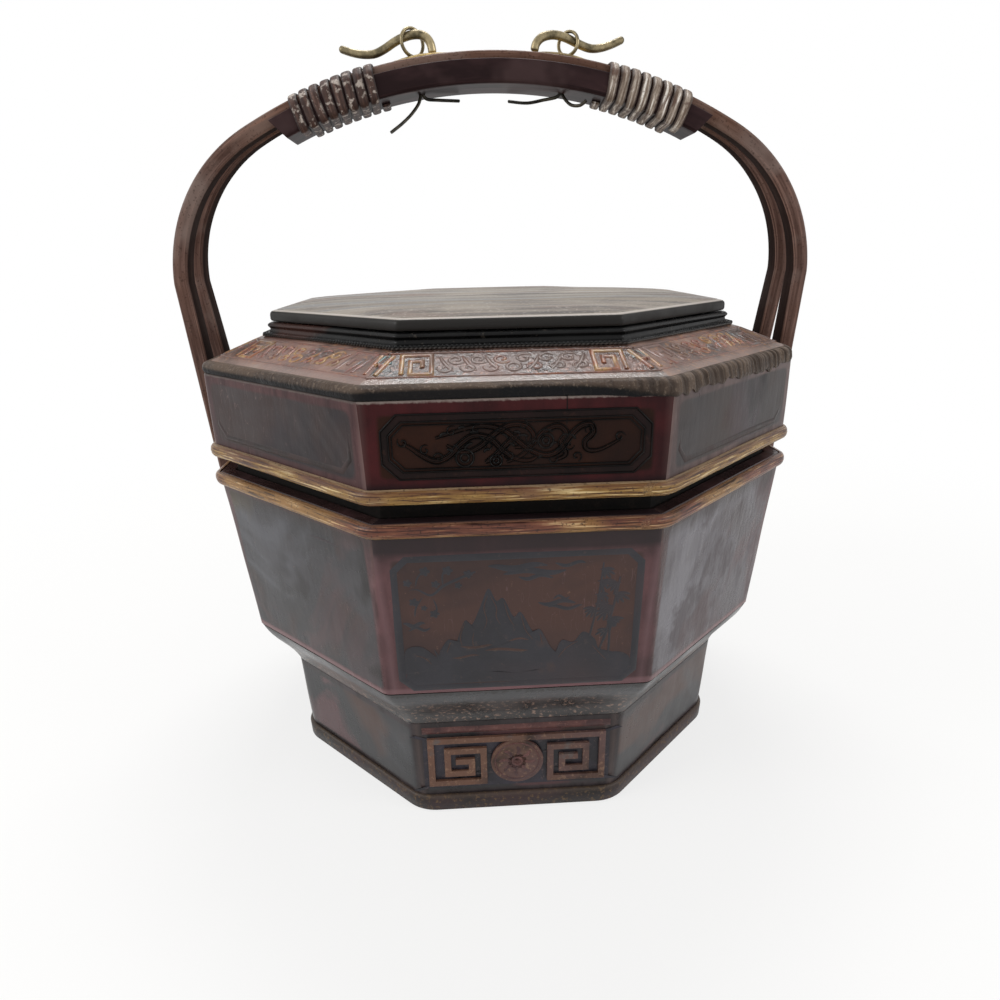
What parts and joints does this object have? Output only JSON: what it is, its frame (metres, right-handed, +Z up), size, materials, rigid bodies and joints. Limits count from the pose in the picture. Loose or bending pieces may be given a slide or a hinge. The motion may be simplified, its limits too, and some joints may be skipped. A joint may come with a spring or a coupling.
{
  "type": "tiered food basket",
  "caption": "Octagonal lacquered food basket on a stepped foot, with a lift-off lid, a tall bent-bamboo arch handle, rattan lashings and swan hooks.",
  "frame": {"origin": "middle of the foot's underside", "axes": "+Z up, front panels towards -Y, handle arch in the XZ plane"},
  "size_m": [0.3172, 0.2804, 0.3551],
  "materials": {
    "black_red_lacquer": "black and red lacquered board",
    "brown_lacquer": "brown lacquered band",
    "dark_moulding_lacquer": "dark lacquered moulding",
    "worn_gilt_lacquer": "raised ornament with worn gilding",
    "ochre_cane": "split cane, varnished",
    "plain_dark_wood": "dark stained board",
    "worn_top_lacquer": "worn lacquered board",
    "lacquered_bamboo": "lacquered split bamboo",
    "dark_plum_lacquer": "dark plum lacquer",
    "grey_rattan": "rattan strip",
    "aged_brass": "aged brass"
  },
  "bodies": {
    "basket": {"foot_board_front": "black_red_lacquer", "foot_board_front_right": "black_red_lacquer", "foot_board_right": "black_red_lacquer", "foot_board_back_right": "black_red_lacquer", "foot_board_back": "black_red_lacquer", "foot_board_back_left": "black_red_lacquer", "foot_board_left": "black_red_lacquer", "foot_board_front_left": "black_red_lacquer", "foot_rim": "brown_lacquer", "foot_fret_front": "worn_gilt_lacquer", "foot_fret_back": "worn_gilt_lacquer", "base_moulding": "dark_moulding_lacquer", "body_board_front": "black_red_lacquer", "body_board_front_right": "black_red_lacquer", "body_board_right": "black_red_lacquer", "body_board_back_right": "black_red_lacquer", "body_board_back": "black_red_lacquer", "body_board_back_left": "black_red_lacquer", "body_board_left": "black_red_lacquer", "body_board_front_left": "black_red_lacquer", "floor_board": "black_red_lacquer", "inner_collar": "plain_dark_wood", "body_hoop": "ochre_cane", "front_arch_bar": "lacquered_bamboo", "back_arch_bar": "lacquered_bamboo", "grip_trough": "dark_plum_lacquer", "lashing_left": "grey_rattan", "lashing_right": "grey_rattan", "leg_peg_front_left": "lacquered_bamboo", "leg_peg_front_right": "lacquered_bamboo", "leg_peg_back_left": "lacquered_bamboo", "leg_peg_back_right": "lacquered_bamboo", "plate_left": "aged_brass", "plate_right": "aged_brass", "eye_pin_left": "aged_brass", "eye_pin_right": "aged_brass"},
    "lid": {"lid_board_front": "black_red_lacquer", "lid_board_front_right": "black_red_lacquer", "lid_board_right": "black_red_lacquer", "lid_board_back_right": "black_red_lacquer", "lid_board_back": "black_red_lacquer", "lid_board_back_left": "black_red_lacquer", "lid_board_left": "black_red_lacquer", "lid_board_front_left": "black_red_lacquer", "lid_hoop": "ochre_cane", "lid_batten": "plain_dark_wood", "shoulder_bead": "dark_moulding_lacquer", "shoulder_board_front": "dark_moulding_lacquer", "shoulder_board_front_right": "dark_moulding_lacquer", "shoulder_board_right": "dark_moulding_lacquer", "shoulder_board_back_right": "dark_moulding_lacquer", "shoulder_board_back": "dark_moulding_lacquer", "shoulder_board_back_left": "dark_moulding_lacquer", "shoulder_board_left": "dark_moulding_lacquer", "shoulder_board_front_left": "dark_moulding_lacquer", "lid_step": "plain_dark_wood", "top_plank_front": "worn_top_lacquer", "top_plank_back": "worn_top_lacquer"},
    "hook_left": {"hook_left": "aged_brass"},
    "hook_right": {"hook_right": "aged_brass"}
  },
  "joints": [
    {"name": "lid_lift", "type": "slide", "parent": "basket", "child": "lid", "axis": [0, 0, 1], "range_m": [0, 0.06]},
    {"name": "hook_right_swivel", "type": "hinge", "parent": "basket", "child": "hook_right", "pos_m": [0.03587, 0, 0.3406], "axis": [0.1494, 0, 0.9888], "range_deg": [0, 70]},
    {"name": "hook_left_swivel", "type": "hinge", "parent": "basket", "child": "hook_left", "pos_m": [-0.03587, 0, 0.3406], "axis": [0.1494, 0, -0.9888], "range_deg": [0, 60]}
  ]
}
